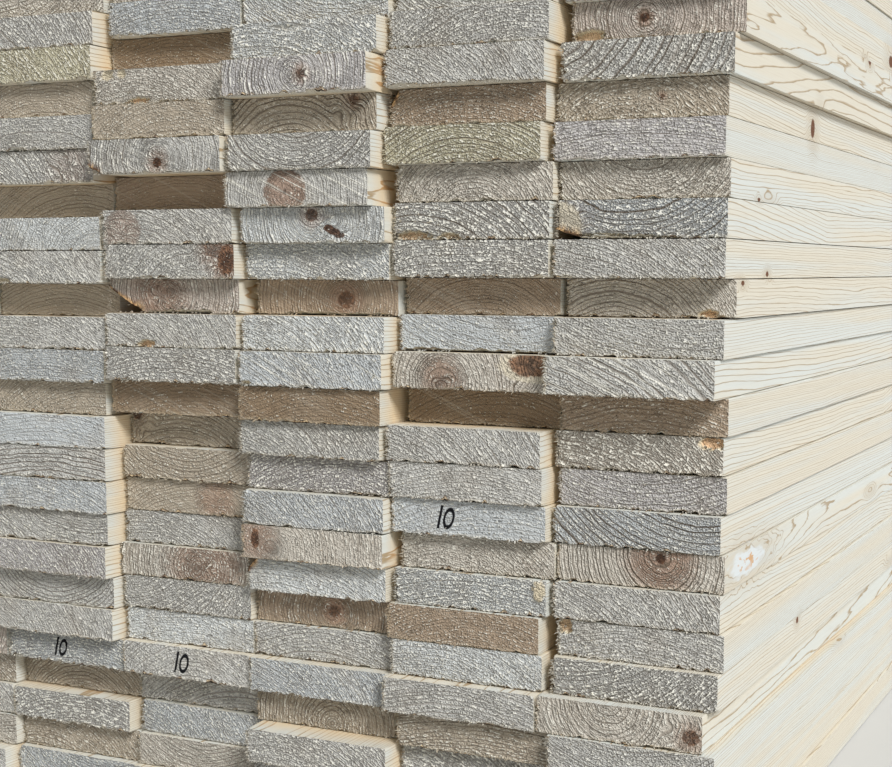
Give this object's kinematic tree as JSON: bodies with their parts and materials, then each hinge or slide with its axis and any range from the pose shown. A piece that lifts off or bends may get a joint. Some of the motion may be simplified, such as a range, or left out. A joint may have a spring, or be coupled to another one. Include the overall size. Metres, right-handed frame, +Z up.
{
  "type": "stack of lumber",
  "caption": "Solid block stack of dressed softwood boards laid flat side by side in layers, their sawn ends standing unevenly and their long sides nearly flush.",
  "frame": {"origin": "middle of the stack's footprint, on the floor", "axes": "+Z up, +Y along the boards away from the sawn ends that the picture shows, +X towards the long side that it shows"},
  "size_m": [1.1426, 3.1316, 1.0322],
  "materials": {
    "softwood": "matte"
  },
  "bodies": {
    "root": {"layer_01": "softwood", "layer_02": "softwood", "layer_03": "softwood", "layer_04": "softwood", "layer_05": "softwood", "layer_06": "softwood", "layer_07": "softwood", "layer_08": "softwood", "layer_09": "softwood", "layer_10": "softwood", "layer_11": "softwood", "layer_12": "softwood", "layer_13": "softwood", "layer_14": "softwood", "layer_15": "softwood", "layer_16": "softwood", "layer_17": "softwood", "layer_18": "softwood", "layer_19": "softwood", "layer_20": "softwood", "layer_21": "softwood", "layer_22": "softwood", "layer_23": "softwood", "layer_24": "softwood", "layer_25": "softwood", "layer_26": "softwood"}
  },
  "joints": []
}
